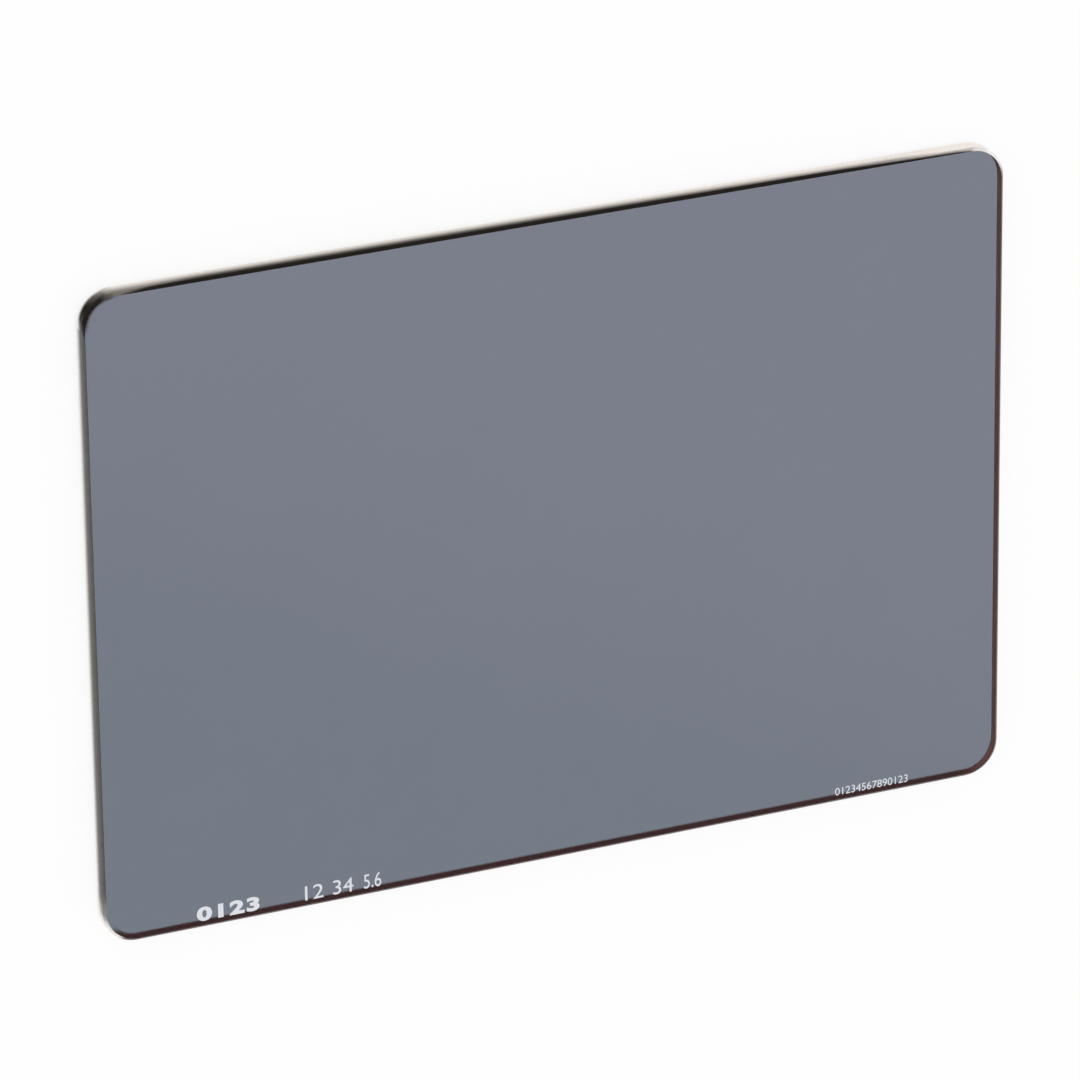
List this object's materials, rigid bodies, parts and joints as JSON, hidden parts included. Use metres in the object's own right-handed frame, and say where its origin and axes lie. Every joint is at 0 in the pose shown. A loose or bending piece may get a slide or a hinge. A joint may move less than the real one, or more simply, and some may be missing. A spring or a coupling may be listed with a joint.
{
  "type": "neutral density filter",
  "caption": "Rectangular neutral density filter plate of coated glass with round corners and bevelled edges, for the tray of a matte box.",
  "frame": {"origin": "centre of the back face, the face that the plate lies on", "axes": "+X along the long side, +Y along the short side towards the edge opposite the printed marks, +Z out of the front, printed face"},
  "size_m": [0.1436, 0.1016, 0.003],
  "materials": {
    "coated_glass": "polished, grey mirror coating"
  },
  "bodies": {
    "root": {"filter_plate": "coated_glass"}
  },
  "joints": []
}
